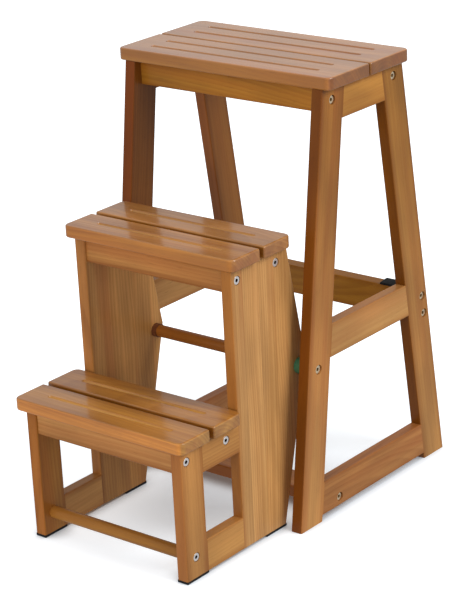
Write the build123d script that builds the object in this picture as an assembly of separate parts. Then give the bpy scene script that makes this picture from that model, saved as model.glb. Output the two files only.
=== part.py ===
from build123d import *
import os
from collections import namedtuple
from math import atan2, cos, degrees, hypot, sin

# Folding wooden step ladder: a lean-sided stand with a broad top tread, and a two-tread step unit
# that is pivoted inside it and swings up, over and down into the stand.
# Millimetres. X is the width, -Y the low step's side, +Z up. The floor is Z = 0.

# ---- stock and overall sizes ----
HEIGHT = 640.0            # top face of the top tread
HALF_DEPTH = 288.0        # low tread's front edge and rear feet, from the middle of the whole ladder
BOARD = 18.0              # thickness of all wood stock
EASED_EDGE = 2.0          # rounding along the frames' edges
TREAD_EDGE = 2.5          # rounding round the treads' faces
OUTER_CORNER = 10.0       # plan radius of a tread's outer corners
GAP_CORNER = 3.0          # plan radius of the corners beside the gap between two boards

# ---- stand ----
TOP_TREAD_WIDTH = 376.0
TOP_TREAD_DEPTH = 190.0
TOP_TREAD_FRONT = 14.0    # Y of the top tread's front edge
TOP_TREAD_GAP = 3.0
STAND_HALF = 175.0        # outer face of the side frames
LEG_WIDTH = 50.0          # measured square to the leg
LEG_SPREAD = 85.0         # how far each leg runs out between the top and the floor
LEG_TOP_INSET = 1.0       # leg's outer edge to the tread's edge, at the top
RAIL = 49.0               # height of the stand's side rails
MIDDLE_RAIL_Z = 263.0     # middle of the middle rail
BOTTOM_RAIL_Z = 33.0      # middle of the bottom rail
CROSS_RAIL_HEIGHT = 48.0  # rear cross rail, measured along the rear legs
CROSS_RAIL_Z = 245.0      # middle of the rear cross rail
CROSS_RAIL_INSET = 3.0    # its rear face to the rear legs' rear edge
LOWER_RAIL_FRONT = 0.0    # Y of the lower cross rail's front edge
LOWER_RAIL_DEPTH = 47.0
LOWER_RAIL_Z = 21.5       # middle of the lower cross rail, which lies flat
REST_PAD_LENGTH = 50.0
REST_PAD_THICK = 3.0

# ---- step unit ----
STEP_HALF = 140.0         # outer face of the panels
STEP_TREAD_WIDTH = 303.0
STEP_TREAD_DEPTH = 130.0
STEP_TREAD_GAP = 8.0
MID_TREAD_TOP = 430.0
MID_TREAD_FRONT = -164.0
LOW_TREAD_TOP = 213.0
PANEL_FRONT = -154.0
PANEL_REAR_TOP = -32.0    # panel's rear edge under the mid tread
PANEL_ELBOW = (2.0, 236.0)   # Y, Z of the panel's rearmost corner
PANEL_REAR_FOOT = -58.0
LOW_LEG_FRONT = -277.0
LOW_LEG_WIDTH = 45.0
LOW_RAIL = 46.0
FOOT_PAD_THICK = 4.0
FOOT_PAD_LENGTH = 45.0
PIVOT = (-15.5, 230.5)    # Y, Z of the hinge line
FRONT_ROD = (-256.0, 33.5)
ROD_D = 18.0

# ---- aprons and grooves ----
APRON_HEIGHT = 36.0
APRON_INSET = 23.0        # tread's edge to the middle of the apron
GROOVE_RADIUS = 4.0
GROOVE_DEPTH = 2.6
GROOVE_END = 38.5         # tread's end to the groove's end
TOP_GROOVE_PITCH = 33.0   # between the two grooves of a top board

# ---- fasteners ----
DOWEL_D = 8.0
FRAME_DOWEL = 30.0        # length, half in each piece
TREAD_DOWEL = 20.0
BOLT_D = 6.0
BOLT_HEAD_D = 12.5
BOLT_HEAD_THICK = 3.5
COUNTERBORE_D = 13.4
HEAD_BEVEL = 0.7
SOCKET = 5.0              # across the hexagon's flats
SOCKET_SHARE = 0.65       # socket's depth as a share of the head's thickness
STAND_RECESS = 2.4        # bolt head's face below the side frame's face
STEP_RECESS = 0.8
BARREL_D = 10.0
BARREL_LENGTH = 14.0
BARREL_SINK = 1.0
BARREL_SLOT = (1.4, 2.0)  # width, and depth doubled
STAND_BOLT = 60.0         # shank lengths
STEP_BOLT = 50.0
STAND_BARREL = 35.0       # barrel nut from the cross member's end
STEP_BARREL = 30.0
CROSS_BOLT_OFFSET = 14.0  # rear cross rail's bolts from its middle, along the leg
SCREW_SPREAD = 0.62       # screw's X as a share of its apron's barrel nut's X
SCREW_D = 4.0
SCREW_HEAD_D = 8.0
SCREW_HEAD_THICK = 4.0
SCREW_BITE = 11.0         # length in the tread
SCREW_SINK = 14.0         # depth of the screw's pocket in the apron's underside
INSERT_D = 11.0
INSERT_LENGTH = 16.0

# ---- pivot ----
PIVOT_BOLT_D = 8.0
PIVOT_CLEARANCE = 0.05    # radial, bolt in the stand's leg
PIVOT_HEAD_D = 13.0
PIVOT_HEAD_THICK = 4.0
PIVOT_POCKET_D = 14.0
PIVOT_POCKET_DEPTH = 6.4
PIVOT_GAP = 0.3           # bolt head to pocket floor, and spacer to leg
SPACER_D = 24.0
COLLAR_D = 20.5
COLLAR_LENGTH = 8.0

# ---- worked out ----
STAND_INNER = STAND_HALF - BOARD
STEP_INNER = STEP_HALF - BOARD
FRAME_TOP = HEIGHT - BOARD
LEAN = atan2(LEG_SPREAD, FRAME_TOP)
LEG_CUT = LEG_WIDTH / cos(LEAN)             # leg's width along the floor
STAND_MIDDLE = TOP_TREAD_FRONT + TOP_TREAD_DEPTH / 2
STAND_PLY = STAND_HALF - BOARD / 2          # mid-thickness of a stand side frame
STEP_PLY = STEP_HALF - BOARD / 2
MID_FRAME_TOP = MID_TREAD_TOP - BOARD
LOW_FRAME_TOP = LOW_TREAD_TOP - BOARD
LOW_LEG_REAR = LOW_LEG_FRONT + LOW_LEG_WIDTH
LOW_TREAD_FRONT = -HALF_DEPTH


def leg_outer(z):
    """Distance of a leg's outer edge from the stand's middle plane, at height z."""
    return TOP_TREAD_DEPTH / 2 - LEG_TOP_INSET + LEG_SPREAD * (FRAME_TOP - z) / FRAME_TOP


def leg_inner(z):
    return leg_outer(z) - LEG_CUT


def stand_y(distance, end):
    """Y of a distance from the stand's middle plane; end is -1 at the front and 1 at the rear."""
    return STAND_MIDDLE + end * distance


# ---- building blocks ----
def prism(points, x0, x1):
    """Plate with the outline points (y, z), between x0 and x1."""
    outline = Plane.YZ.offset(x0) * make_face(Polyline(*points, close=True))
    return extrude(outline, amount=x1 - x0, dir=(1, 0, 0))


def block(x0, x1, y0, y1, z0, z1):
    return Pos(x0, y0, z0) * Box(x1 - x0, y1 - y0, z1 - z0, align=(Align.MIN,) * 3)


def rod(start, end, diameter):
    """Round bar between two points."""
    start, end = Vector(start), Vector(end)
    axis = end - start
    bar = Solid.make_cylinder(diameter / 2, axis.length, Plane(origin=start, z_dir=axis))
    return Part(bar.wrapped)


def union(shapes):
    total = shapes[0]
    for shape in shapes[1:]:
        total += shape
    return total


def mirrored(shape):
    return mirror(shape, about=Plane.YZ)


def eased(shape, radius, keep_sharp):
    """Round the edges that lie in the plate's two faces, apart from those at a height to keep sharp."""
    def rounds(edge):
        a, b = edge @ 0, edge @ 1
        flat = abs(a.X - b.X) < 0.01
        sharp = any(abs(a.Z - z) < 0.01 and abs(b.Z - z) < 0.01 for z in keep_sharp)
        return flat and not sharp
    return fillet([edge for edge in shape.edges() if rounds(edge)], radius)


# ---- fasteners: each returns the solid piece and the cavity that it fills ----
def socket_bolt(x_face, y, z, recess, length, diameter=BOLT_D, head_d=BOLT_HEAD_D,
                head_thick=BOLT_HEAD_THICK, pocket_d=COUNTERBORE_D, pocket_gap=0.0):
    """Hex socket bolt that enters the +X face at x_face, and points towards -X."""
    head_face = x_face - recess
    head_back = head_face - head_thick
    tip = head_back - length
    head = rod((head_back, y, z), (head_face, y, z), head_d)
    rim = [edge for edge in head.edges().filter_by(GeomType.CIRCLE) if edge.center().X > head_face - 0.01]
    head = chamfer(rim, HEAD_BEVEL)
    hexagon = Plane.YZ.offset(head_face) * Pos(y, z) * RegularPolygon(SOCKET / 2, 6, major_radius=False)
    socket = extrude(hexagon, amount=head_thick * SOCKET_SHARE, dir=(-1, 0, 0))
    piece = head - socket + rod((tip, y, z), (head_back, y, z), diameter)
    pocket = rod((head_back - pocket_gap, y, z), (x_face + 1, y, z), pocket_d)
    cavity = pocket + rod((tip, y, z), (head_back, y, z), diameter)
    return piece, cavity


def barrel_nut(centre, axis, bolt_seat):
    """Cross dowel with its slotted end towards axis, threaded by the bolt that fills bolt_seat."""
    centre, axis = Vector(centre), Vector(axis)
    near, far = centre + axis * (BARREL_LENGTH / 2), centre - axis * (BARREL_LENGTH / 2)
    slot = Plane(origin=near, z_dir=axis) * Box(BARREL_SLOT[0], BARREL_D + 1, BARREL_SLOT[1])
    mouth = near + axis * (BARREL_SINK + 1)
    return rod(far, near, BARREL_D) - slot - bolt_seat, rod(far, mouth, BARREL_D)


def tread_screw(x, y, apron_bottom, apron_top):
    """Countersunk screw that comes up through an apron and into the tread above it."""
    seat = apron_bottom + SCREW_SINK
    tip = apron_top + SCREW_BITE
    profile = Polyline((0, seat), (SCREW_HEAD_D / 2, seat), (SCREW_D / 2, seat + SCREW_HEAD_THICK),
                       (SCREW_D / 2, tip - SCREW_D), (0, tip), close=True)
    solid = revolve(Plane.XZ * make_face(profile), Axis.Z)
    screw = Pos(x, y, 0) * solid
    pocket = rod((x, y, apron_bottom - 1), (x, y, seat), SCREW_HEAD_D)
    return screw, screw + pocket


# ---- treads ----
def tread_board(width, y0, y1, top, outer_side, grooves):
    """One board of a tread; outer_side is -1 when its front edge is the tread's edge, 1 when its rear is."""
    board = block(-width / 2, width / 2, y0, y1, top - BOARD, top)
    outer_y = y0 if outer_side < 0 else y1
    uprights = board.edges().filter_by(Axis.Z)
    outer = [edge for edge in uprights if abs(edge.center().Y - outer_y) < 0.01]
    board = fillet(outer, OUTER_CORNER)
    inner_y = y1 if outer_side < 0 else y0
    inner = [edge for edge in board.edges().filter_by(Axis.Z) if abs(edge.center().Y - inner_y) < 0.01]
    board = fillet(inner, GAP_CORNER)
    rims = board.faces().sort_by(Axis.Z)
    board = fillet(rims[0].edges() + rims[-1].edges(), TREAD_EDGE)
    reach = width / 2 - GROOVE_END - GROOVE_RADIUS
    height = top - GROOVE_DEPTH + GROOVE_RADIUS
    for y in grooves:
        board -= rod((-reach, y, height), (reach, y, height), 2 * GROOVE_RADIUS)
        for x in (-reach, reach):
            board -= Pos(x, y, height) * Sphere(GROOVE_RADIUS)
    return board


def tread_pair(width, front, depth, gap, top, grooves_each):
    """Front and rear boards of a tread."""
    board_depth = (depth - gap) / 2
    boards = []
    for side, y0 in ((-1, front), (1, front + depth - board_depth)):
        middle = y0 + board_depth / 2
        if grooves_each == 1:
            lines = [middle]
        else:
            lines = [middle - TOP_GROOVE_PITCH / 2, middle + TOP_GROOVE_PITCH / 2]
        boards.append(tread_board(width, y0, y0 + board_depth, top, side, lines))
    return boards


# ---- side frames: one plate with eased edges, parted at the joints ----
def leg_outline(end):
    return [(stand_y(leg_outer(0), end), 0), (stand_y(leg_inner(0), end), 0),
            (stand_y(leg_inner(FRAME_TOP), end), FRAME_TOP), (stand_y(leg_outer(FRAME_TOP), end), FRAME_TOP)]


def rail_outline(bottom, top):
    return [(stand_y(leg_inner(bottom), -1), bottom), (stand_y(leg_inner(bottom), 1), bottom),
            (stand_y(leg_inner(top), 1), top), (stand_y(leg_inner(top), -1), top)]


def stand_side():
    outlines = {
        "front_leg": leg_outline(-1),
        "rear_leg": leg_outline(1),
        "side_top_rail": rail_outline(FRAME_TOP - RAIL, FRAME_TOP),
        "side_middle_rail": rail_outline(MIDDLE_RAIL_Z - RAIL / 2, MIDDLE_RAIL_Z + RAIL / 2),
        "side_bottom_rail": rail_outline(BOTTOM_RAIL_Z - RAIL / 2, BOTTOM_RAIL_Z + RAIL / 2),
    }
    members = {name: prism(points, STAND_INNER, STAND_HALF) for name, points in outlines.items()}
    plate = eased(union(list(members.values())), EASED_EDGE, (0, FRAME_TOP))
    return {name: plate & member for name, member in members.items()}


def step_side():
    underside = FOOT_PAD_THICK
    outlines = {
        "side_panel": [(PANEL_FRONT, underside), (PANEL_REAR_FOOT, underside), PANEL_ELBOW,
                       (PANEL_REAR_TOP, MID_FRAME_TOP), (PANEL_FRONT, MID_FRAME_TOP)],
        "low_leg": [(LOW_LEG_FRONT, underside), (LOW_LEG_REAR, underside),
                    (LOW_LEG_REAR, LOW_FRAME_TOP), (LOW_LEG_FRONT, LOW_FRAME_TOP)],
    }
    for name, bottom in (("low_top_rail", LOW_FRAME_TOP - LOW_RAIL), ("low_bottom_rail", underside)):
        outlines[name] = [(LOW_LEG_REAR, bottom), (PANEL_FRONT, bottom),
                          (PANEL_FRONT, bottom + LOW_RAIL), (LOW_LEG_REAR, bottom + LOW_RAIL)]
    members = {name: prism(points, STEP_INNER, STEP_HALF) for name, points in outlines.items()}
    plate = eased(union(list(members.values())), EASED_EDGE, (underside, LOW_FRAME_TOP, MID_FRAME_TOP))
    return {name: plate & member for name, member in members.items()}


# ---- cross members ----
def apron(half_length, middle_y, top):
    piece = block(-half_length, half_length, middle_y - BOARD / 2, middle_y + BOARD / 2,
                  top - APRON_HEIGHT, top)
    lower = [edge for edge in piece.edges().filter_by(Axis.X) if edge.center().Z < top - 1]
    return fillet(lower, EASED_EDGE)


def lean_plane(origin_y, origin_z):
    """Plane square to the rear legs: its local X runs along world X, and its local Z up the leg."""
    return Plane(origin=(0, origin_y, origin_z), x_dir=(1, 0, 0), z_dir=(0, -sin(LEAN), cos(LEAN)))


CROSS_RAIL_Y = (stand_y(leg_outer(CROSS_RAIL_Z), 1)
                - (CROSS_RAIL_INSET + BOARD / 2) / cos(LEAN))


def rear_cross_rail():
    bar = lean_plane(CROSS_RAIL_Y, CROSS_RAIL_Z) * Box(2 * STAND_INNER, BOARD, CROSS_RAIL_HEIGHT)
    return fillet([edge for edge in bar.edges() if abs((edge @ 0).X - (edge @ 1).X) > 1], EASED_EDGE)


def rest_pad():
    rise = (CROSS_RAIL_HEIGHT + REST_PAD_THICK) / 2
    pad = Box(REST_PAD_LENGTH, BOARD, REST_PAD_THICK)
    pad = fillet(pad.faces().sort_by(Axis.Z)[-1].edges(), 0.8)
    return lean_plane(CROSS_RAIL_Y, CROSS_RAIL_Z) * Pos(STAND_INNER - REST_PAD_LENGTH / 2, 0, rise) * pad


def lower_cross_rail():
    bar = block(-STAND_INNER, STAND_INNER, LOWER_RAIL_FRONT, LOWER_RAIL_FRONT + LOWER_RAIL_DEPTH,
                LOWER_RAIL_Z - BOARD / 2, LOWER_RAIL_Z + BOARD / 2)
    return fillet(bar.edges().filter_by(Axis.X), EASED_EDGE)


# ---- the assembly ----
nodes = {}                # one shape for each named piece
groups = {}               # like fasteners, which share a node


def add_side(members):
    """Name a right-hand side's members, and mirror them for the left."""
    for name, piece in members.items():
        nodes[name + "_right"] = piece
        nodes[name + "_left"] = mirrored(piece)


def cut(names, cavity):
    """Cut a +X cavity and its mirror image out of the named nodes."""
    for name in names:
        if name.endswith("_right"):
            nodes[name] -= cavity
            nodes[name.replace("_right", "_left")] -= mirrored(cavity)
        else:
            nodes[name] = nodes[name] - cavity - mirrored(cavity)


def fasten(group, piece, cavity, names):
    """Add a +X fastener and its mirror image to a group, and cut their seats."""
    groups.setdefault(group, []).extend([piece, mirrored(piece)])
    cut(names, cavity)


def dowel(group, centre, axis, length, names):
    centre, axis = Vector(centre), Vector(axis)
    pin = rod(centre - axis * length / 2, centre + axis * length / 2, DOWEL_D)
    fasten(group, pin, pin, names)


Tread = namedtuple("Tread", "level width front depth gap top grooves_each on_stand front_seat rear_seat")
TREADS = (
    Tread("top", TOP_TREAD_WIDTH, TOP_TREAD_FRONT, TOP_TREAD_DEPTH, TOP_TREAD_GAP, HEIGHT, 2, True,
          "front_leg_right", "rear_leg_right"),
    Tread("mid", STEP_TREAD_WIDTH, MID_TREAD_FRONT, STEP_TREAD_DEPTH, STEP_TREAD_GAP, MID_TREAD_TOP, 1, False,
          "side_panel_right", "side_panel_right"),
    Tread("low", STEP_TREAD_WIDTH, LOW_TREAD_FRONT, STEP_TREAD_DEPTH, STEP_TREAD_GAP, LOW_TREAD_TOP, 1, False,
          "low_leg_right", "low_top_rail_right"),
)


def apron_places(tread):
    """(place, middle Y, direction of the tread's middle, side member) of a tread's two aprons."""
    return (("front", tread.front + APRON_INSET, 1, tread.front_seat),
            ("rear", tread.front + tread.depth - APRON_INSET, -1, tread.rear_seat))


def add_tread(tread):
    """A tread's two boards, and the aprons under them."""
    inner = STAND_INNER if tread.on_stand else STEP_INNER
    boards = tread_pair(tread.width, tread.front, tread.depth, tread.gap, tread.top, tread.grooves_each)
    for board, (place, y, _, _) in zip(boards, apron_places(tread)):
        nodes[f"{tread.level}_tread_{place}_board"] = board
        nodes[f"{tread.level}_{place}_apron"] = apron(inner, y, tread.top - BOARD)


def fasten_tread(tread):
    """Bolt a tread's aprons between the side frames, and screw its boards down from them."""
    unit = "stand" if tread.on_stand else "step"
    face = STAND_HALF if tread.on_stand else STEP_HALF
    recess = STAND_RECESS if tread.on_stand else STEP_RECESS
    shank = STAND_BOLT if tread.on_stand else STEP_BOLT
    nut_x = face - BOARD - (STAND_BARREL if tread.on_stand else STEP_BARREL)
    apron_top = tread.top - BOARD
    bolt_z = apron_top - APRON_HEIGHT / 2
    for place, y, inward, seat in apron_places(tread):
        apron_name = f"{tread.level}_{place}_apron"
        board_name = f"{tread.level}_tread_{place}_board"
        bolt, bolt_seat = socket_bolt(face, y, bolt_z, recess, shank)
        fasten(f"{unit}_bolts", bolt, bolt_seat, (seat, apron_name))
        nut_y = y + inward * (BOARD / 2 - BARREL_SINK - BARREL_LENGTH / 2)
        nut, nut_seat = barrel_nut((nut_x, nut_y, bolt_z), (0, inward, 0), bolt_seat)
        fasten(f"{unit}_barrel_nuts", nut, nut_seat, (apron_name,))
        screw, screw_seat = tread_screw(nut_x * SCREW_SPREAD, y, apron_top - APRON_HEIGHT, apron_top)
        fasten(f"{unit}_tread_screws", screw, screw_seat, (apron_name, board_name))


add_side(stand_side())
add_side(step_side())
for tread in TREADS:
    add_tread(tread)
nodes["rear_cross_rail"] = rear_cross_rail()
nodes["lower_cross_rail"] = lower_cross_rail()
add_side({"rest_pad": rest_pad()})
for tread in TREADS:
    fasten_tread(tread)

# Rear cross rail: two bolts at each end, in line along the leg.
for offset in (-CROSS_BOLT_OFFSET, CROSS_BOLT_OFFSET):
    bolt_y = CROSS_RAIL_Y - offset * sin(LEAN)
    bolt_z = CROSS_RAIL_Z + offset * cos(LEAN)
    bolt, bolt_seat = socket_bolt(STAND_HALF, bolt_y, bolt_z, STAND_RECESS, STAND_BOLT)
    fasten("stand_bolts", bolt, bolt_seat, ("rear_leg_right", "rear_cross_rail"))
    inward = (0, -cos(LEAN), -sin(LEAN))
    sink = BOARD / 2 - BARREL_SINK - BARREL_LENGTH / 2
    nut_at = (STAND_INNER - STAND_BARREL, bolt_y + sink * inward[1], bolt_z + sink * inward[2])
    nut, nut_seat = barrel_nut(nut_at, inward, bolt_seat)
    fasten("stand_barrel_nuts", nut, nut_seat, ("rear_cross_rail",))

# Lower cross rail: one bolt at each end, with its barrel nut set in from below.
lower_y = LOWER_RAIL_FRONT + LOWER_RAIL_DEPTH / 2
bolt, bolt_seat = socket_bolt(STAND_HALF, lower_y, LOWER_RAIL_Z, STAND_RECESS, STAND_BOLT)
fasten("stand_bolts", bolt, bolt_seat, ("side_bottom_rail_right", "lower_cross_rail"))
nut_z = LOWER_RAIL_Z - (BOARD / 2 - BARREL_SINK - BARREL_LENGTH / 2)
nut, nut_seat = barrel_nut((STAND_INNER - STAND_BARREL, lower_y, nut_z), (0, 0, -1), bolt_seat)
fasten("stand_barrel_nuts", nut, nut_seat, ("lower_cross_rail",))

# Side frames are dowelled and glued: two dowels at each joint, at these heights from the rail's middle.
RAIL_DOWELS = (-14.0, 14.0)
TOP_RAIL_DOWELS = (-16.0, 8.0)      # the upper one clears the tread's dowels
LOW_RAIL_DOWELS = (-13.0, 13.0)
stand_joints = (
    ("side_top_rail_right", FRAME_TOP - RAIL / 2, TOP_RAIL_DOWELS),
    ("side_middle_rail_right", MIDDLE_RAIL_Z, RAIL_DOWELS),
    ("side_bottom_rail_right", BOTTOM_RAIL_Z, RAIL_DOWELS),
)
for rail, middle, offsets in stand_joints:
    for offset in offsets:
        z = middle + offset
        for end, leg in ((-1, "front_leg_right"), (1, "rear_leg_right")):
            at = (STAND_PLY, stand_y(leg_inner(z), end), z)
            dowel("stand_frame_dowels", at, (0, 1, 0), FRAME_DOWEL, (rail, leg))
for rail, middle in (("low_top_rail_right", LOW_FRAME_TOP - LOW_RAIL / 2),
                     ("low_bottom_rail_right", FOOT_PAD_THICK + LOW_RAIL / 2)):
    for offset in LOW_RAIL_DOWELS:
        for seam, partner in ((LOW_LEG_REAR, "low_leg_right"), (PANEL_FRONT, "side_panel_right")):
            at = (STEP_PLY, seam, middle + offset)
            dowel("step_frame_dowels", at, (0, 1, 0), FRAME_DOWEL, (rail, partner))

# Treads are dowelled to the tops of the side frames: (Y, board, side member).
LEG_DOWEL, RAIL_DOWEL = 56.0, 18.0              # from the top tread's middle line
PANEL_DOWELS = (46.0, 84.0)                     # from the mid tread's front edge
LOW_FRAME_DOWELS = (24.0, 84.0)                 # from the low tread's front edge
top_joints = (
    (stand_y(LEG_DOWEL, -1), "top_tread_front_board", "front_leg_right"),
    (stand_y(RAIL_DOWEL, -1), "top_tread_front_board", "side_top_rail_right"),
    (stand_y(RAIL_DOWEL, 1), "top_tread_rear_board", "side_top_rail_right"),
    (stand_y(LEG_DOWEL, 1), "top_tread_rear_board", "rear_leg_right"),
)
mid_joints = (
    (MID_TREAD_FRONT + PANEL_DOWELS[0], "mid_tread_front_board", "side_panel_right"),
    (MID_TREAD_FRONT + PANEL_DOWELS[1], "mid_tread_rear_board", "side_panel_right"),
)
low_joints = (
    (LOW_TREAD_FRONT + LOW_FRAME_DOWELS[0], "low_tread_front_board", "low_leg_right"),
    (LOW_TREAD_FRONT + LOW_FRAME_DOWELS[1], "low_tread_rear_board", "low_top_rail_right"),
)
for group, x, z, joints in (("stand_tread_dowels", STAND_PLY, FRAME_TOP, top_joints),
                            ("step_tread_dowels", STEP_PLY, MID_FRAME_TOP, mid_joints),
                            ("step_tread_dowels", STEP_PLY, LOW_FRAME_TOP, low_joints)):
    for y, board_name, seat_name in joints:
        dowel(group, (x, y, z), (0, 0, 1), TREAD_DOWEL, (board_name, seat_name))

# Round rods between the step unit's sides.
for name, (y, z) in (("pivot_rod", PIVOT), ("front_rod", FRONT_ROD)):
    nodes[name] = rod((-STEP_INNER, y, z), (STEP_INNER, y, z), ROD_D)


def rod_insert(y, z, bore):
    body = rod((STEP_INNER - INSERT_LENGTH, y, z), (STEP_INNER, y, z), INSERT_D)
    return body - rod((STEP_INNER - INSERT_LENGTH, y, z), (STEP_INNER, y, z), bore), body


front_length = BOARD - STEP_RECESS - BOLT_HEAD_THICK + INSERT_LENGTH
bolt, bolt_seat = socket_bolt(STEP_HALF, *FRONT_ROD, STEP_RECESS, front_length)
fasten("step_bolts", bolt, bolt_seat, ("low_leg_right",))
insert, insert_seat = rod_insert(*FRONT_ROD, BOLT_D)
fasten("rod_inserts", insert, insert_seat, ("front_rod",))

# Pivot: each bolt turns in a stand leg and is held by the step unit.
insert, insert_seat = rod_insert(*PIVOT, PIVOT_BOLT_D)
fasten("rod_inserts", insert, insert_seat, ("pivot_rod",))
pivot_recess = PIVOT_POCKET_DEPTH - PIVOT_HEAD_THICK - PIVOT_GAP
pivot_length = STAND_HALF - pivot_recess - PIVOT_HEAD_THICK - STEP_INNER + INSERT_LENGTH
bolt, pocket = socket_bolt(STAND_HALF, *PIVOT, pivot_recess, pivot_length, PIVOT_BOLT_D,
                           PIVOT_HEAD_D, PIVOT_HEAD_THICK, PIVOT_POCKET_D, PIVOT_GAP)
add_side({"pivot_bolt": bolt})
bearing = rod((STAND_INNER - 1, *PIVOT), (STAND_HALF, *PIVOT), PIVOT_BOLT_D + 2 * PIVOT_CLEARANCE)
cut(("front_leg_right",), pocket + bearing)
shank = rod((STEP_INNER - COLLAR_LENGTH, *PIVOT), (STAND_INNER, *PIVOT), PIVOT_BOLT_D)
cut(("side_panel_right",), shank)
spacer = rod((STEP_HALF, *PIVOT), (STAND_INNER - PIVOT_GAP, *PIVOT), SPACER_D)
add_side({"pivot_spacer": fillet(spacer.edges().filter_by(GeomType.CIRCLE), 1.0) - shank})
collar = rod((STEP_INNER - COLLAR_LENGTH, *PIVOT), (STEP_INNER, *PIVOT), COLLAR_D)
collar -= rod((STEP_INNER - COLLAR_LENGTH, *PIVOT), (STEP_INNER, *PIVOT), ROD_D)
add_side({"pivot_collar": collar})

# Rubber pads under the step unit's feet.
for name, y0 in (("front_foot_pad", LOW_LEG_FRONT), ("rear_foot_pad", PANEL_REAR_FOOT - FOOT_PAD_LENGTH)):
    pad = block(STEP_INNER, STEP_HALF, y0, y0 + FOOT_PAD_LENGTH, 0, FOOT_PAD_THICK)
    pad = fillet(pad.faces().sort_by(Axis.Z)[0].edges(), 1.0)
    add_side({name: pad})

for name, pieces in groups.items():
    nodes[name] = Compound(children=pieces)

os.makedirs("parts", exist_ok=True)
for name, shape in nodes.items():
    export_step(shape, f"parts/{name}.step")
print(len(nodes), "nodes; legs lean", round(degrees(LEAN), 2), "degrees; front foot swings on a radius of",
      round(hypot(PIVOT[0] - LOW_LEG_FRONT, PIVOT[1]), 1))
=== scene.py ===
"""Looks of a folding wooden step ladder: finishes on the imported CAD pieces, a plain studio and a camera.

Everything is in metres in the CAD frame: X is the width, -Y the low step's side, +Z up, and the floor is
Z = 0.
"""

from math import atan2, cos, radians, sin
from random import Random

import bmesh
import bpy
from mathutils import Matrix, Vector


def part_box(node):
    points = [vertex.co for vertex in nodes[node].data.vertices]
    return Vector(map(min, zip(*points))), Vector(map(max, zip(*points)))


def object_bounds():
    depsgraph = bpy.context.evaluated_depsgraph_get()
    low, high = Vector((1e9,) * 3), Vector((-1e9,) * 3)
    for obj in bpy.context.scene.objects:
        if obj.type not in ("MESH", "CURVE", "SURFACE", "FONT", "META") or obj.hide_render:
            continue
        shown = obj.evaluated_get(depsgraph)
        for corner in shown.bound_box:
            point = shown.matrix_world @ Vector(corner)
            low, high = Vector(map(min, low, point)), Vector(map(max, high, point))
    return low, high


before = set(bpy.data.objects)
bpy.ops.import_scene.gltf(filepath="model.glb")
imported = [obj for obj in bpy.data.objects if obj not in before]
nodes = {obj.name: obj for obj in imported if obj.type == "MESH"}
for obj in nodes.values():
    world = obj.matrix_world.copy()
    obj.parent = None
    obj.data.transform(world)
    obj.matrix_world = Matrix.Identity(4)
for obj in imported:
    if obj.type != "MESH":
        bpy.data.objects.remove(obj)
cad_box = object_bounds()
middle = (cad_box[0] + cad_box[1]) / 2

# ---- camera: the photograph's direction, seen from a little over three metres ----
CAMERA_AZIMUTH = radians(39.71)
CAMERA_ELEVATION = radians(20.10)
CAMERA_ROLL = radians(-2.98)
CAMERA_DISTANCE = 3.109
CAMERA_AIM = Vector((0.0506, -0.0512, 0.001))  # from the middle of the ladder
LENS, SENSOR = 133.9, 36.0                     # millimetres
CLIP_START, CLIP_END = 0.05, 60.0

# ---- directions ----
X_AXIS, Y_AXIS, Z_AXIS = Vector((1, 0, 0)), Vector((0, 1, 0)), Vector((0, 0, 1))
LEG_CUT = 0.0505                               # a stand leg's width along the floor
LEG_WIDTH = 0.050                              # and across its grain
leg_low, leg_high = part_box("front_leg_right")
lean = atan2(leg_high.y - leg_low.y - LEG_CUT, leg_high.z - leg_low.z)
FRONT_LEAN = Vector((0, sin(lean), cos(lean)))
REAR_LEAN = Vector((0, -sin(lean), cos(lean)))
REAR_FACE = Vector((0, cos(lean), sin(lean)))  # out of the rear cross rail

# ---- wood: its colours, and shades of the stain as shares of them ----
LIGHT_WOOD = (0.520, 0.238, 0.061)
DARK_WOOD = (0.290, 0.106, 0.021)
RED_WOOD = (0.380, 0.125, 0.030)
HONEY = (1.00, 1.00, 1.00)
PALE = (1.18, 1.30, 1.40)
AMBER = (1.00, 0.97, 0.42)
UMBER = (0.72, 0.60, 0.45)
DEEP = (0.54, 0.40, 0.09)
BURNT = (0.72, 0.58, 0.44)
END_TINT = (0.85, 0.80, 0.72)
GAP_SHADE = (0.80, 0.76, 0.36)                  # painted shade on a rear board's front side, down in the gap
PORE_SHADE = (0.35, 0.35, 0.35)

# ---- wood: boards, and the strips that a panel is glued from ----
SEED_SPAN = 50
PANEL_STRIP = 0.034                            # width of a strip
WHOLE_BOARD = 1.0                              # strip width of a piece that is one board
STRIP_START = (0.35, 0.65)                     # where a panel's middle lies in its strip, as a share
STRIP_SHIFT = (3.0, 0.09, 0.05)                # how far from its neighbour's place in the log a strip may be

# ---- wood: growth rings. The pith is under a flat-sawn board's face, and beside any other board ----
RING_SPACING = 0.0058
RING_RISE = (0.10, 0.85)                       # shares of a ring between which it darkens,
RING_FALL = (1.00, 0.88)                       # and between which it turns pale again
STRAY_SCALE = 60.0
STRAY_RINGS = 3.0                              # how many rings the spacing may stray by
WANDER_STRETCH = (2.2, 6.0, 6.0)
WANDER = (0.0, 0.034, 0.034)
NOISE_CENTRE = (-0.5, -0.5, -0.5)
FLAT_ASIDE = 0.012
FLAT_UNDER = (0.018, 0.034)
FLAT_SLOPE_ASIDE = 0.01
FLAT_SLOPE = (0.05, 0.09)
QUARTERED_ASIDE = (0.09, 0.15)
QUARTERED_UNDER = 0.03
QUARTERED_SLOPE = 0.012

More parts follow.
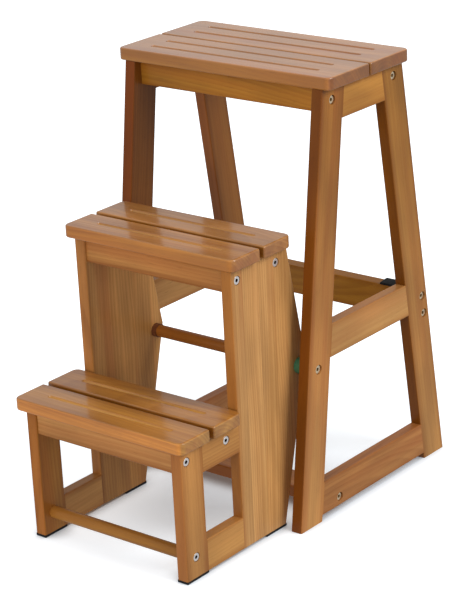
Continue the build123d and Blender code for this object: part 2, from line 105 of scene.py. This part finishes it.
# ---- wood: figure. A stretch counts noise cells to the metre along the grain, across it and outwards ----
FIBRE = {"stretch": (9.0, 330.0, 330.0), "detail": 3.0, "roughness": 0.6}
STREAK = {"stretch": (1.6, 48.0, 48.0), "detail": 3.0}
RUST = {"stretch": (2.0, 34.0, 34.0), "detail": 2.0, "sign": -1}
PORES = {"stretch": (55.0, 1500.0, 1500.0), "detail": 1.0}
BLOTCH = {"stretch": (5.0, 16.0, 16.0), "detail": 2.0}
FIBRE_SHARE = 0.20
PORE_SHARE = 0.30
END_RING_SHARE = 0.15

# Spreads, for spread(): low and high, and what they turn into if that isn't 0 and 1.
STREAK_SPREAD = (0.30, 0.72)
RUST_SPREAD = (0.46, 0.74, 0.0, 0.55)
PORE_SPREAD = (0.62, 0.76)
BLOTCH_SPREAD = (0.3, 0.7, 0.84, 1.16)
STRIP_SPREAD = (0.0, 1.0, 0.92, 1.07)
SEAM_SPREAD = (0.480, 0.497, 0.0, 0.22)
SIDE_FACING = (0.55, 0.90)                     # how squarely a narrow side or an end faces its way
GROOVE_FACING = (0.45, 0.80)
RIM = 0.011                                    # width of the darker stain along a wide face's edges
SIDE_START = (0.005, 0.003)                    # distances from the edge between which a narrow side begins
GROOVE_DEPTHS = (0.0014, 0.0004)               # below the face: the grooves' full painted light and shade, and none

# ---- wood: varnish ----
SKIN_SCALE = 90.0
FIBRE_RELIEF, SKIN_RELIEF, PORE_RELIEF = 0.5, 0.7, 0.4
UNEVEN = (0.6, 0.4)                            # shares of the finer and the coarser noise in a shine
WOOD_SHINE = (0.3, 0.7, 0.36, 0.52)
WOOD_IOR, COAT_IOR = 1.46, 1.5
COAT_ROUGHNESS = 0.13
SPECULAR_DULL, SPECULAR_GAIN = 0.18, 0.4       # specular level without gloss, and what full gloss adds
WOOD_BUMP, WOOD_BUMP_DEPTH = 0.12, 0.0004

# ---- metal ----
CHROME = (0.95, 0.93, 0.93)
BRASSY = (0.88, 0.76, 0.54)
ZINC = (0.60, 0.58, 0.52)
# Painted shade deep in a bolt head's socket, lighter in brassy bolts.
SOCKET_SHADE = (0.030, 0.016, 0.016)
SOCKET_SHADE_BRASSY = (0.340, 0.215, 0.085)
SOCKET_FLOOR, SOCKET_MOUTH = 0.0012, 0.0005    # depths under a bolt head's face
METALLIC = 0.75
METAL_SHINE = (0.3, 0.7, 0.24, 0.38)
METAL_CLOUD_SCALE = 220.0
METAL_CLOUD_SHADE = 0.82
SCRATCH_STRETCH = (1.0, 0.12, 1.0)
SCRATCH_SCALE = 5200.0
BOLT_SCRATCH, ZINC_SCRATCH = 0.05, 0.10
SCRATCH_DEPTH = 0.0001

# ---- rubber and nylon ----
BLACK_RUBBER = (0.012, 0.012, 0.013)
GREEN_NYLON = (0.060, 0.200, 0.100)
BROWN_NYLON = (0.150, 0.045, 0.016)
MOTTLE_SCALE = 60.0
MOTTLE_SHADE, DUST_SHADE = 0.7, 1.6
DUST_SPREAD = (0.55, 0.80, 0.0, 0.25)
SMOOTHER, ROUGHER = -0.06, 0.08                # what mottling does to the roughness
MOULDED_IOR = 1.48
MOULDED_DEPTH = 0.0003

# ---- studio ----
ABOVE = (0.60, 0.60, 0.60)                     # the surroundings over and under the horizon
BELOW = (0.47, 0.47, 0.47)
HORIZON = (-0.12, 0.12)
FLOOR_RADIUS, FLOOR_SIDES = 14.0, 96
FLOOR_SHADES = ((0.60, 0.66, 0.72), (0.62, 0.68, 0.74))
FLOOR_CLOUD_SCALE = 3.0
FLOOR_ROUGHNESS, FLOOR_SPECULAR = 0.7, 0.2
GLOW_COLOUR = (1.0, 1.0, 1.0, 1.0)
GLOW_SQUEEZE = (1.5, 1.0, 1.0)                 # the glow's rings are narrower along X
GLOW_NEAR = (0.04, 0.32, 0.26, 0.66)
GLOW_FAR = (0.42, 0.70, 0.00, 0.24)
# Painted contact shadows on the floor: how far they reach, and how they dim the glow.
CONTACT_REACH = 0.032
CONTACT_SPREAD = (0.20, 0.92)
CONTACT_SAMPLES = 8
KEY_PLACE, KEY_WATTS = (2.9, 0.4, 2.3), 76.0
FILL_PLACE, FILL_WATTS = (0.3, -3.3, 1.2), 38.0
LIGHT_SIZE = 1.6


# ---- node helpers ----
def add(tree, kind, inputs=None, **settings):
    """Add a shader node. An input is a plain value, or the output socket that feeds it."""
    node = tree.nodes.new("ShaderNode" + kind)
    for name, value in settings.items():
        setattr(node, name, value)
    for key, value in (inputs or {}).items():
        if isinstance(value, bpy.types.NodeSocket):
            tree.links.new(value, node.inputs[key])
        else:
            node.inputs[key].default_value = value
    return node


def calc(tree, operation, a, b=0.0, clamp=False):
    return add(tree, "Math", {0: a, 1: b}, operation=operation, use_clamp=clamp).outputs[0]


def weighted(tree, a, share_a, b, share_b):
    return calc(tree, "ADD", calc(tree, "MULTIPLY", a, share_a), calc(tree, "MULTIPLY", b, share_b))


def scaled(tree, vector, factors):
    return add(tree, "VectorMath", {0: vector, 1: factors}, operation="MULTIPLY").outputs[0]


def times(tree, vector, factor):
    return add(tree, "VectorMath", {0: vector, "Scale": factor}, operation="SCALE").outputs[0]


def moved(tree, vector, offset):
    return add(tree, "VectorMath", {0: vector, 1: offset}, operation="ADD").outputs[0]


def length(tree, vector):
    return add(tree, "VectorMath", {0: vector}, operation="LENGTH").outputs["Value"]


def towards(tree, normal, direction):
    """Cosine of the angle between a surface's normal and a direction."""
    return add(tree, "VectorMath", {0: normal, 1: direction}, operation="DOT_PRODUCT").outputs["Value"]


def noise(tree, vector, scale, detail=2.0, roughness=0.5):
    inputs = {"Vector": vector, "Scale": scale, "Detail": detail, "Roughness": roughness}
    return add(tree, "TexNoise", inputs).outputs["Fac"]


def spread(tree, value, low, high, to_low=0.0, to_high=1.0):
    """Map low..high to to_low..to_high, smoothly and clamped."""
    inputs = {"Value": value, "From Min": low, "From Max": high, "To Min": to_low, "To Max": to_high}
    return add(tree, "MapRange", inputs, interpolation_type="SMOOTHSTEP").outputs[0]


def blend(tree, factor, a, b, mode="MIX"):
    """Mix two colours."""
    node = add(tree, "Mix", {0: factor}, data_type="RGBA", blend_type=mode)
    for slot, colour in ((6, a), (7, b)):
        if isinstance(colour, bpy.types.NodeSocket):
            tree.links.new(colour, node.inputs[slot])
        else:
            node.inputs[slot].default_value = (*colour, 1.0)
    return node.outputs[2]


def tinted(tree, colour, tint):
    return blend(tree, 1.0, colour, tint, "MULTIPLY")


def shade(colour, tint):
    """A plain colour times a tint."""
    return tuple(part * share for part, share in zip(colour, tint))


def grey(share):
    return share, share, share


def new_material(name):
    material = bpy.data.materials.new(name)
    material.use_nodes = True
    material.node_tree.nodes.clear()
    return material, material.node_tree


def shader(tree, inputs, height=None, bump=0.0, bump_depth=0.0):
    """Principled surface with an optional bump."""
    if height is not None:
        bumped = add(tree, "Bump", {"Strength": bump, "Distance": bump_depth, "Height": height})
        inputs = {**inputs, "Normal": bumped.outputs[0]}
    surface = add(tree, "BsdfPrincipled", inputs)
    output = add(tree, "OutputMaterial")
    tree.links.new(surface.outputs[0], output.inputs[0])


# ---- wood ----
class Board:
    """What the steps of one piece's wood share.

    Its place is measured from the piece's middle: lengthwise along the grain, then across it, then outwards
    from the wide face.
    """

    def __init__(self, tree, piece, along, face, draw):
        low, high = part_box(piece)
        turn = Matrix((along, face.cross(along), face))
        texture = add(tree, "TexCoord")
        inputs = {"Vector": texture.outputs["Object"], "Location": -(turn @ ((low + high) / 2)),
                  "Rotation": turn.to_euler()}
        self.tree, self.along, self.face, self.size = tree, along, face, high - low
        self.normal = texture.outputs["Normal"]
        self.place = add(tree, "Mapping", inputs).outputs[0]
        self.lengthwise, self.across, self.outwards = add(tree, "SeparateXYZ", {0: self.place}).outputs
        self.seed = Vector([draw.uniform(0, SEED_SPAN) for _ in range(3)])


def place_in_log(board, strip, draw):
    """The board's place in its log, the strip number at each point, and a random share for each strip."""
    tree = board.tree
    number = calc(tree, "ADD", calc(tree, "DIVIDE", board.across, strip), draw.uniform(*STRIP_START))
    inputs = {"Vector": board.seed, "W": calc(tree, "FLOOR", number)}
    own = add(tree, "TexWhiteNoise", inputs, noise_dimensions="4D")
    place = moved(tree, board.place, scaled(tree, own.outputs["Color"], STRIP_SHIFT))
    return place, number, own.outputs["Value"]


def either_way(draw, most):
    return draw.uniform(-most, most)


def either_side(draw, span):
    return draw.choice((-1, 1)) * draw.uniform(*span)


def pith_line(flat_sawn, draw):
    """A point on the pith, from the board's middle, and how far it slopes away in a metre of board."""
    if flat_sawn:
        pith = Vector((0, either_way(draw, FLAT_ASIDE), -draw.uniform(*FLAT_UNDER)))
        slope = Vector((0, either_way(draw, FLAT_SLOPE_ASIDE), either_side(draw, FLAT_SLOPE)))
    else:
        pith = Vector((0, either_side(draw, QUARTERED_ASIDE), either_way(draw, QUARTERED_UNDER)))
        slope = Vector((0, either_way(draw, QUARTERED_SLOPE), 0))
    return pith, slope


def from_pith(board, place, flat_sawn, draw):
    """Distance from the pith, which wanders slowly along the board."""
    tree = board.tree
    slow_place = moved(tree, scaled(tree, place, WANDER_STRETCH), board.seed)
    slow = add(tree, "TexNoise", {"Vector": slow_place, "Scale": 1.0, "Detail": 2.0}).outputs["Color"]
    wander = scaled(tree, moved(tree, slow, NOISE_CENTRE), WANDER)
    pith, slope = pith_line(flat_sawn, draw)
    offset = moved(tree, moved(tree, place, wander), -pith)
    offset = moved(tree, offset, times(tree, slope, board.lengthwise))
    return length(tree, scaled(tree, offset, (0.0, 1.0, 1.0)))


def late_wood(board, radius):
    """Share of dark late wood at a distance from the pith."""
    tree = board.tree
    stray = calc(tree, "MULTIPLY", radius, STRAY_SCALE)
    line = add(tree, "CombineXYZ", {0: stray, 1: board.seed.x}).outputs[0]
    rings = calc(tree, "ADD", calc(tree, "DIVIDE", radius, RING_SPACING),
                 calc(tree, "MULTIPLY", noise(tree, line, 1.0), STRAY_RINGS))
    in_ring = calc(tree, "FRACT", rings)
    return calc(tree, "MULTIPLY", spread(tree, in_ring, *RING_RISE), spread(tree, in_ring, *RING_FALL))


def figure_noise(board, place, stretch, detail, roughness=0.5, sign=1):
    tree = board.tree
    stretched = moved(tree, scaled(tree, place, stretch), sign * board.seed)
    return noise(tree, stretched, 1.0, detail, roughness)


def stain(board, place, late, fibre, tint, ring_share, figure):
    """The stained wood's colour, and the darkest colour in it."""
    tree = board.tree
    streak = figure_noise(board, place, **STREAK)
    rust = figure_noise(board, place, **RUST)
    # A pale tint is only half as pale in the dark wood.
    rich = tuple(min(share, (1 + share) / 2) for share in tint)
    light, dark, ruddy = shade(LIGHT_WOOD, tint), shade(DARK_WOOD, rich), shade(RED_WOOD, rich)
    depth = weighted(tree, late, ring_share, spread(tree, streak, *STREAK_SPREAD), figure)
    depth = calc(tree, "ADD", depth, calc(tree, "MULTIPLY", fibre, FIBRE_SHARE), clamp=True)
    colour = blend(tree, depth, light, dark)
    return blend(tree, spread(tree, rust, *RUST_SPREAD), colour, ruddy), dark


def strips(board, colour, number, own):
    """Each strip of a glued panel has its own tone, and a fine dark seam beside it."""
    tree = board.tree
    colour = times(tree, colour, spread(tree, own, *STRIP_SPREAD))
    off_middle = calc(tree, "ABSOLUTE", calc(tree, "SUBTRACT", calc(tree, "FRACT", number), 0.5))
    return blend(tree, spread(tree, off_middle, *SEAM_SPREAD), colour, DARK_WOOD)


def narrow_sides(board, colour, edge, painted_light_ramp, rim):
    """Darken the wide face along its edges, paint light and shade that ramp from its low end to its high end,
    and tint the narrow sides instead, partly with painted light and shade.
    """
    tree = board.tree
    sideways = board.face.cross(board.along)
    leaning = board.along in (FRONT_LEAN, REAR_LEAN)
    half_width = LEG_WIDTH / 2 if leaning else abs(sideways.dot(board.size)) / 2
    half_length = max(board.size) / 2
    off_middle = calc(tree, "ABSOLUTE", board.across)
    burnt = spread(tree, off_middle, half_width - RIM, half_width, 0.0, rim)
    colour = blend(tree, burnt, colour, tinted(tree, colour, BURNT))
    # The narrow sides' tint is partly the stain's and partly painted light and shade: lighter on the middle
    # and low treads' front sides and on the left legs', darker on the right stand legs' front sides, and
    # painted shade down in a tread's gap.
    facing = spread(tree, calc(tree, "ABSOLUTE", towards(tree, board.normal, sideways)), *SIDE_FACING)
    at_edge = spread(tree, off_middle, *(half_width - distance for distance in SIDE_START))
    # Painted light and shade: the piece is tinted darker from one end to the other where less light falls on
    # it, not because its wood differs.
    upwards = spread(tree, board.lengthwise, -half_length, half_length)
    ramp_shaded = tinted(tree, colour, blend(tree, upwards, *painted_light_ramp))
    return blend(tree, calc(tree, "MULTIPLY", facing, at_edge), ramp_shaded, tinted(tree, colour, edge))


def end_grain(board, colour, late, dark, end):
    tree = board.tree
    facing = calc(tree, "ABSOLUTE", towards(tree, board.normal, board.along))
    ringed = blend(tree, calc(tree, "MULTIPLY", late, END_RING_SHARE), colour, dark)
    return blend(tree, spread(tree, facing, *SIDE_FACING), colour, tinted(tree, ringed, end))


def paint_groove_light(board, colour, groove_light_and_shade):
    """Painted highlight in the middle and low treads' grooves and along their rounded top edges, and painted
    shade in the top tread's.
    """
    tree = board.tree
    half_thick = abs(board.face.dot(board.size)) / 2
    levels = [half_thick - depth for depth in GROOVE_DEPTHS]
    sunk = spread(tree, board.outwards, *levels, 1.0, 0.0)
    facing = spread(tree, towards(tree, board.normal, board.face), *GROOVE_FACING)
    return blend(tree, calc(tree, "MULTIPLY", sunk, facing), colour, tinted(tree, colour, groove_light_and_shade))


def varnish(board, place, colour, fibre, pores, blotch, gloss):
    """Varnish lies smooth over the wood, and a little thinner over the fibres."""
    tree = board.tree
    skin = noise(tree, moved(tree, place, board.seed), SKIN_SCALE)
    height = weighted(tree, fibre, FIBRE_RELIEF, skin, SKIN_RELIEF)
    height = calc(tree, "SUBTRACT", height, calc(tree, "MULTIPLY", pores, PORE_RELIEF))
    uneven = weighted(tree, fibre, UNEVEN[0], blotch, UNEVEN[1])
    shader(tree, {"Base Color": colour, "Roughness": spread(tree, uneven, *WOOD_SHINE), "IOR": WOOD_IOR,
                  "Specular IOR Level": SPECULAR_DULL + SPECULAR_GAIN * gloss, "Coat Weight": gloss,
                  "Coat Roughness": COAT_ROUGHNESS, "Coat IOR": COAT_IOR},
           height, WOOD_BUMP, WOOD_BUMP_DEPTH)


def wood(piece, along, face, tint=HONEY, edge=HONEY, end=END_TINT, painted_light_ramp=(HONEY, HONEY), strip=WHOLE_BOARD,
         flat_sawn=False, ring_share=0.24, gloss=0.14, figure=0.46, rim=0.75, groove_light_and_shade=None):
    """Stained and varnished softwood for one piece: growth rings round a pith, fibres, pores and end grain.

    tint shades the whole piece, and the edge, end and groove tints shade its narrow sides, ends and grooves
    on top of that. The edge tint is partly the stain's and partly painted light and shade; the groove tint is
    a painted highlight in the middle and low treads' grooves and painted shade in the top tread's. The ramp
    tints paint light and shade from the low end to the high end. ring_share and figure say how strongly rings
    and streaks show, and rim how dark the wide face's edges are.
    """
    draw = Random(piece)
    material, tree = new_material(piece + "_wood")
    board = Board(tree, piece, along, face, draw)
    place, strip_number, strip_own = place_in_log(board, strip, draw)
    late = late_wood(board, from_pith(board, place, flat_sawn, draw))
    fibre = figure_noise(board, place, **FIBRE)
    pores = spread(tree, figure_noise(board, place, **PORES), *PORE_SPREAD)
    blotch = figure_noise(board, place, **BLOTCH)
    colour, dark = stain(board, place, late, fibre, tint, ring_share, figure)
    if strip < WHOLE_BOARD:
        colour = strips(board, colour, strip_number, strip_own)
    colour = blend(tree, calc(tree, "MULTIPLY", pores, PORE_SHARE), colour, shade(dark, PORE_SHADE))
    colour = times(tree, colour, spread(tree, blotch, *BLOTCH_SPREAD))
    colour = narrow_sides(board, colour, edge, painted_light_ramp, rim)
    colour = end_grain(board, colour, late, dark, end)
    if groove_light_and_shade:
        colour = paint_groove_light(board, colour, groove_light_and_shade)
    varnish(board, place, colour, fibre, pores, blotch, gloss)
    return material


# ---- metal, rubber and nylon ----
def metal(name, colour, scratch, head_at=None, socket_shade=SOCKET_SHADE):
    """Plated steel with fine scratches and an uneven shine. Inwards of head_at, a bolt's socket is given
    painted shade.
    """
    material, tree = new_material(name)
    place = add(tree, "TexCoord").outputs["Object"]
    cloudy = noise(tree, place, METAL_CLOUD_SCALE, 3.0)
    scratches = noise(tree, scaled(tree, place, SCRATCH_STRETCH), SCRATCH_SCALE)
    tint = blend(tree, cloudy, colour, shade(colour, grey(METAL_CLOUD_SHADE)))
    if head_at:
        outwards = calc(tree, "ABSOLUTE", add(tree, "SeparateXYZ", {0: place}).outputs[0])
        sunk = spread(tree, outwards, head_at - SOCKET_FLOOR, head_at - SOCKET_MOUTH, 1.0, 0.0)
        tint = blend(tree, sunk, tint, socket_shade)
    shine = spread(tree, weighted(tree, cloudy, UNEVEN[0], scratches, UNEVEN[1]), *METAL_SHINE)
    shader(tree, {"Base Color": tint, "Metallic": METALLIC, "Roughness": shine},
           scratches, scratch, SCRATCH_DEPTH)
    return material


def bolt_metal(node, colour, socket_shade):
    """Metal for a group of bolts whose heads face outwards along X."""
    low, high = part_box(node)
    return metal(node + "_plated", colour, BOLT_SCRATCH, max(abs(low.x), abs(high.x)), socket_shade)


def moulded(name, colour, roughness, grain_scale, bump, specular=0.5):
    """Rubber or nylon: a fine moulded skin with faint mottling."""
    material, tree = new_material(name)
    place = add(tree, "TexCoord").outputs["Object"]
    fine = noise(tree, place, grain_scale, 3.0, 0.6)
    mottle = noise(tree, place, MOTTLE_SCALE)
    tint = blend(tree, mottle, colour, shade(colour, grey(MOTTLE_SHADE)))
    tint = blend(tree, spread(tree, fine, *DUST_SPREAD), tint, shade(colour, grey(DUST_SHADE)))
    shine = spread(tree, mottle, 0.3, 0.7, roughness + SMOOTHER, roughness + ROUGHER)
    shader(tree, {"Base Color": tint, "Roughness": shine, "IOR": MOULDED_IOR,
                  "Specular IOR Level": specular}, fine, bump, MOULDED_DEPTH)
    return material


# ---- which finish each piece has ----
# Painted light: a tread's groove tint is a highlight in its grooves and along its rounded top edges, and the
# top tread's is painted shade there instead.
TREAD = {"groove_light_and_shade": (1.18, 1.27, 0.70), "flat_sawn": True, "gloss": 0.8, "rim": 0.2, "figure": 0.60}
CALM = {"figure": 0.34, "ring_share": 0.13}
TOP_TREAD = {**TREAD, **CALM, "groove_light_and_shade": (0.74, 0.74, 0.72), "gloss": 1.0}
MID_TREAD = {**TREAD, "tint": (1.02, 0.97, 0.82), "end": (0.90, 0.90, 1.05)}
LOW_TREAD = {**TREAD, "tint": (0.94, 0.88, 0.52), "end": (0.96, 1.10, 1.50)}
PANEL = {"strip": PANEL_STRIP, "ring_share": 0.26, "figure": 0.28}
DOWEL = {"tint": PALE, "gloss": 0.0}

# By the start of a node's name: which way its grain runs, which way its wide face looks, and its settings.
# The first row that fits counts, so a left piece's row is above its pair's.
GRAIN = {
    "top_tread": (X_AXIS, Z_AXIS, {
        **TOP_TREAD, "tint": (1.08, 1.04, 1.28), "edge": (0.80, 0.74, 0.26), "end": (0.46, 0.35, 0.09)}),
    # The middle and low treads' front edge tints are lighter partly as painted light on their front sides.
    "mid_tread_front": (X_AXIS, Z_AXIS, {**MID_TREAD, "edge": (1.18, 1.06, 0.62)}),
    "mid_tread_rear": (X_AXIS, Z_AXIS, {**MID_TREAD, "edge": GAP_SHADE}),
    "low_tread_front": (X_AXIS, Z_AXIS, {**LOW_TREAD, "edge": (1.58, 1.48, 1.60)}),
    "low_tread_rear": (X_AXIS, Z_AXIS, {**LOW_TREAD, "edge": GAP_SHADE}),
    "top_front_apron": (X_AXIS, Y_AXIS, {
        "tint": AMBER, "flat_sawn": True, "painted_light_ramp": (grey(0.78), grey(1.20))}),
    "top_rear_apron": (X_AXIS, Y_AXIS, {"tint": AMBER, "flat_sawn": True}),
    "mid_front_apron": (X_AXIS, Y_AXIS, {"tint": (1.20, 1.20, 1.28), "painted_light_ramp": (grey(1.12), grey(0.86))}),
    "mid_rear_apron": (X_AXIS, Y_AXIS, {"flat_sawn": True}),
    "low_front_apron": (X_AXIS, Y_AXIS, {"tint": (1.18, 1.27, 1.60), "flat_sawn": True}),
    "low_rear_apron": (X_AXIS, Y_AXIS, {"flat_sawn": True}),
    # Painted shade: a left leg's inner face lies in the treads' shadow, so its tint is much darker than its
    # right pair's, and its narrow sides are tinted back lighter.
    "front_leg_left": (FRONT_LEAN, X_AXIS, {"tint": (0.49, 0.39, 0.20), "edge": (1.16, 0.90, 0.50)}),
    "front_leg": (FRONT_LEAN, X_AXIS, {
        **CALM, "tint": (1.08, 1.15, 1.34), "edge": DEEP, "painted_light_ramp": (grey(1.04), (0.60, 0.50, 0.30))}),
    "rear_leg_left": (REAR_LEAN, X_AXIS, {
        **CALM, "tint": (0.55, 0.48, 0.36), "edge": (1.40, 1.34, 1.80)}),
    "rear_leg": (REAR_LEAN, X_AXIS, {
        **CALM, "tint": (0.95, 1.02, 1.15), "edge": (0.60, 0.43, 0.10),
        "painted_light_ramp": (grey(1.02), (0.65, 0.58, 0.34))}),
    # Partly the wood's tone, partly painted light and shade: the top rail is tinted darker and the middle
    # rail paler, as less light falls on the stand's side higher up.
    "side_top_rail": (Y_AXIS, X_AXIS, {**CALM, "tint": (0.91, 0.91, 0.65)}),
    "side_middle_rail": (Y_AXIS, X_AXIS, {**CALM, "tint": (1.08, 1.24, 1.55)}),
    "side_bottom_rail": (Y_AXIS, X_AXIS, {"tint": (0.86, 0.82, 0.90), "flat_sawn": True}),
    "rear_cross_rail": (X_AXIS, REAR_FACE, {"tint": (0.95, 0.93, 0.32), "flat_sawn": True}),
    "lower_cross_rail": (X_AXIS, Z_AXIS, {"tint": UMBER}),
    "side_panel_left": (Z_AXIS, X_AXIS, {
        **PANEL, "tint": (1.30, 1.52, 1.95), "edge": (1.00, 0.88, 0.80),
        "painted_light_ramp": ((0.72, 0.64, 0.48), grey(1.16))}),
    "side_panel": (Z_AXIS, X_AXIS, {
        **PANEL, "tint": (1.22, 1.42, 1.95), "edge": (1.06, 0.90, 0.62), "painted_light_ramp": (grey(1.04), grey(0.94))}),
    # Painted shade: darker than its right pair, for the low tread's shadow on its inner face.
    "low_leg_left": (Z_AXIS, X_AXIS, {"tint": (0.86, 0.82, 0.52), "edge": (1.08, 0.98, 1.15)}),
    "low_leg": (Z_AXIS, X_AXIS, {
        **CALM, "tint": (1.01, 1.06, 1.18), "edge": (0.98, 0.90, 0.95), "painted_light_ramp": (grey(0.78), grey(1.06))}),
    "low_top_rail": (Y_AXIS, X_AXIS, {"tint": (1.15, 1.22, 1.30)}),
    "low_bottom_rail": (Y_AXIS, X_AXIS, {**CALM, "tint": (1.12, 1.26, 1.40)}),
    "pivot_rod": (X_AXIS, Z_AXIS, {"tint": (0.66, 0.48, 0.28), "rim": 0.0, "figure": 0.70}),
    "front_rod": (X_AXIS, Z_AXIS, {"tint": (0.87, 0.83, 0.58), "rim": 0.0}),
    "stand_frame_dowels": (Y_AXIS, X_AXIS, DOWEL),
    "step_frame_dowels": (Y_AXIS, X_AXIS, DOWEL),
    "stand_tread_dowels": (Z_AXIS, X_AXIS, DOWEL),
    "step_tread_dowels": (Z_AXIS, X_AXIS, DOWEL),
}
zinc = metal("zinc_steel", ZINC, ZINC_SCRATCH)
rubber = moulded("black_rubber", BLACK_RUBBER, roughness=0.62, grain_scale=2600.0, bump=0.20, specular=0.2)
green_nylon = moulded("green_nylon", GREEN_NYLON, roughness=0.38, grain_scale=1900.0, bump=0.08)
brown_nylon = moulded("brown_nylon", BROWN_NYLON, roughness=0.40, grain_scale=1900.0, bump=0.08)
OTHER = {
    "stand_bolts": bolt_metal("stand_bolts", BRASSY, SOCKET_SHADE_BRASSY),
    "step_bolts": bolt_metal("step_bolts", CHROME, SOCKET_SHADE),
    "pivot_bolt": bolt_metal("pivot_bolt_right", BRASSY, SOCKET_SHADE_BRASSY),
    "stand_barrel_nuts": zinc, "step_barrel_nuts": zinc, "stand_tread_screws": zinc,
    "step_tread_screws": zinc, "rod_inserts": zinc,
    "rest_pad": rubber, "front_foot_pad": rubber, "rear_foot_pad": rubber,
    "pivot_spacer": green_nylon, "pivot_collar": brown_nylon,
}


def entry(table, node):
    """The table's first row whose key starts the node's name, or None."""
    return next((row for key, row in table.items() if node.startswith(key)), None)


def finish_node(node, material):
    """Give every face of a CAD node one material."""
    mesh = nodes[node].data
    mesh.materials.clear()
    mesh.materials.append(material)


for node in sorted(nodes):
    grain = entry(GRAIN, node)
    if grain:
        along, face, settings = grain
        finish_node(node, wood(node, along, face, **settings))
    else:
        finish_node(node, entry(OTHER, node))


# ---- studio ----
def floor_material():
    """Pale paper that glows more with distance: white all round, and a painted soft shadow under the ladder,
    where it glows less.
    """
    material, tree = new_material("pale_floor")
    place = add(tree, "TexCoord").outputs["Object"]
    tint = blend(tree, noise(tree, place, FLOOR_CLOUD_SCALE), *FLOOR_SHADES)
    from_middle = scaled(tree, moved(tree, place, (-middle.x, -middle.y, 0.0)), GLOW_SQUEEZE)
    distance = length(tree, from_middle)
    # Painted shadow: the glow is weakest near the ladder's middle, a soft grey pool under it.
    glow = calc(tree, "ADD", spread(tree, distance, *GLOW_NEAR), spread(tree, distance, *GLOW_FAR))
    # The glow hides soft shadows, so painted contact shadows dim it right beside a foot and under a rail.
    painted_contact_shadow = add(tree, "AmbientOcclusion", {"Distance": CONTACT_REACH}, samples=CONTACT_SAMPLES).outputs["AO"]
    glow = calc(tree, "MULTIPLY", glow, spread(tree, painted_contact_shadow, *CONTACT_SPREAD))
    shader(tree, {"Base Color": tint, "Roughness": FLOOR_ROUGHNESS, "Specular IOR Level": FLOOR_SPECULAR,
                  "Emission Color": GLOW_COLOUR, "Emission Strength": glow})
    return material


def floor():
    """A round pale floor, wide enough to fill every view."""
    mesh = bpy.data.meshes.new("studio_floor")
    shape = bmesh.new()
    bmesh.ops.create_circle(shape, cap_ends=True, radius=FLOOR_RADIUS, segments=FLOOR_SIDES)
    shape.to_mesh(mesh)
    shape.free()
    mesh.materials.append(floor_material())
    piece = bpy.data.objects.new("studio_floor", mesh)
    bpy.context.scene.collection.objects.link(piece)
    piece.visible_diffuse = False               # the world below lights the ladder, not the bright floor
    piece.visible_glossy = False


def soft_light(name, position, watts, mirrored=True):
    """A square soft box that faces the middle of the ladder. Varnish reflects it only if it is mirrored."""
    lamp = bpy.data.lights.new(name, "AREA")
    lamp.shape = "SQUARE"
    lamp.size = LIGHT_SIZE
    lamp.energy = watts
    box = bpy.data.objects.new(name, lamp)
    box.location = position
    box.visible_glossy = mirrored
    box.rotation_mode = "QUATERNION"
    box.rotation_quaternion = (middle - Vector(position)).to_track_quat("-Z", "Y")
    bpy.context.scene.collection.objects.link(box)


def studio():
    """Even grey surroundings, a key light from the right and a weaker fill light from the front."""
    world = bpy.data.worlds.new("studio")
    world.use_nodes = True
    tree = world.node_tree
    direction = add(tree, "TexCoord").outputs["Generated"]
    height = add(tree, "SeparateXYZ", {0: direction}).outputs[2]
    surround = blend(tree, spread(tree, height, *HORIZON), BELOW, ABOVE)
    tree.links.new(surround, tree.nodes["Background"].inputs["Color"])
    bpy.context.scene.world = world
    bpy.context.scene.view_settings.view_transform = "Standard"
    soft_light("key_light", KEY_PLACE, KEY_WATTS)
    soft_light("fill_light", FILL_PLACE, FILL_WATTS, mirrored=False)


def camera():
    lens = bpy.data.cameras.new("camera")
    lens.sensor_fit = "AUTO"
    lens.sensor_width = SENSOR
    lens.lens = LENS
    lens.clip_start, lens.clip_end = CLIP_START, CLIP_END
    view = bpy.data.objects.new("camera", lens)
    level = cos(CAMERA_ELEVATION)
    back = Vector((sin(CAMERA_AZIMUTH) * level, -cos(CAMERA_AZIMUTH) * level, sin(CAMERA_ELEVATION)))
    right = (-back).cross(Z_AXIS).normalized()
    up = right.cross(-back)
    rolled_right = right * cos(CAMERA_ROLL) + up * sin(CAMERA_ROLL)
    rolled_up = up * cos(CAMERA_ROLL) - right * sin(CAMERA_ROLL)
    turn = Matrix((rolled_right, rolled_up, back)).transposed()
    view.matrix_world = Matrix.Translation(middle + CAMERA_AIM + back * CAMERA_DISTANCE) @ turn.to_4x4()
    bpy.context.scene.collection.objects.link(view)
    bpy.context.scene.camera = view


floor()
studio()
camera()
